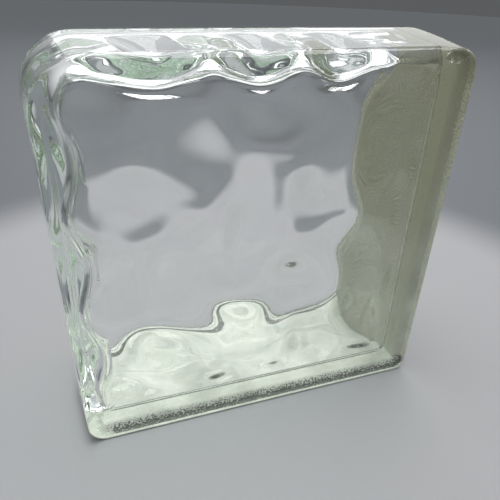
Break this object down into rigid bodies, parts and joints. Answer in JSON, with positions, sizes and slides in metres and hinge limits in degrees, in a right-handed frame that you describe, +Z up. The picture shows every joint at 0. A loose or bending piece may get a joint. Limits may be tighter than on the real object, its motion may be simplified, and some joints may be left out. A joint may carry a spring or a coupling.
{
  "type": "glass block",
  "caption": "Square hollow glass building block with wavy inner faces, a finished top and side with rounded corners, and a coated mortar channel along its base and other side.",
  "frame": {"origin": "middle of the block's base, on the level the block stands on", "axes": "+Z up; +Y from the front face to the rear face; +X to the right as seen from the front, towards the coated mortar side"},
  "size_m": [0.197, 0.079, 0.197],
  "materials": {
    "clear_glass": "polished, pale green in its depth",
    "edge_coating": "matt, finely granular"
  },
  "bodies": {
    "root": {"glass_body": "clear_glass", "edge_coating": "edge_coating"}
  },
  "joints": []
}
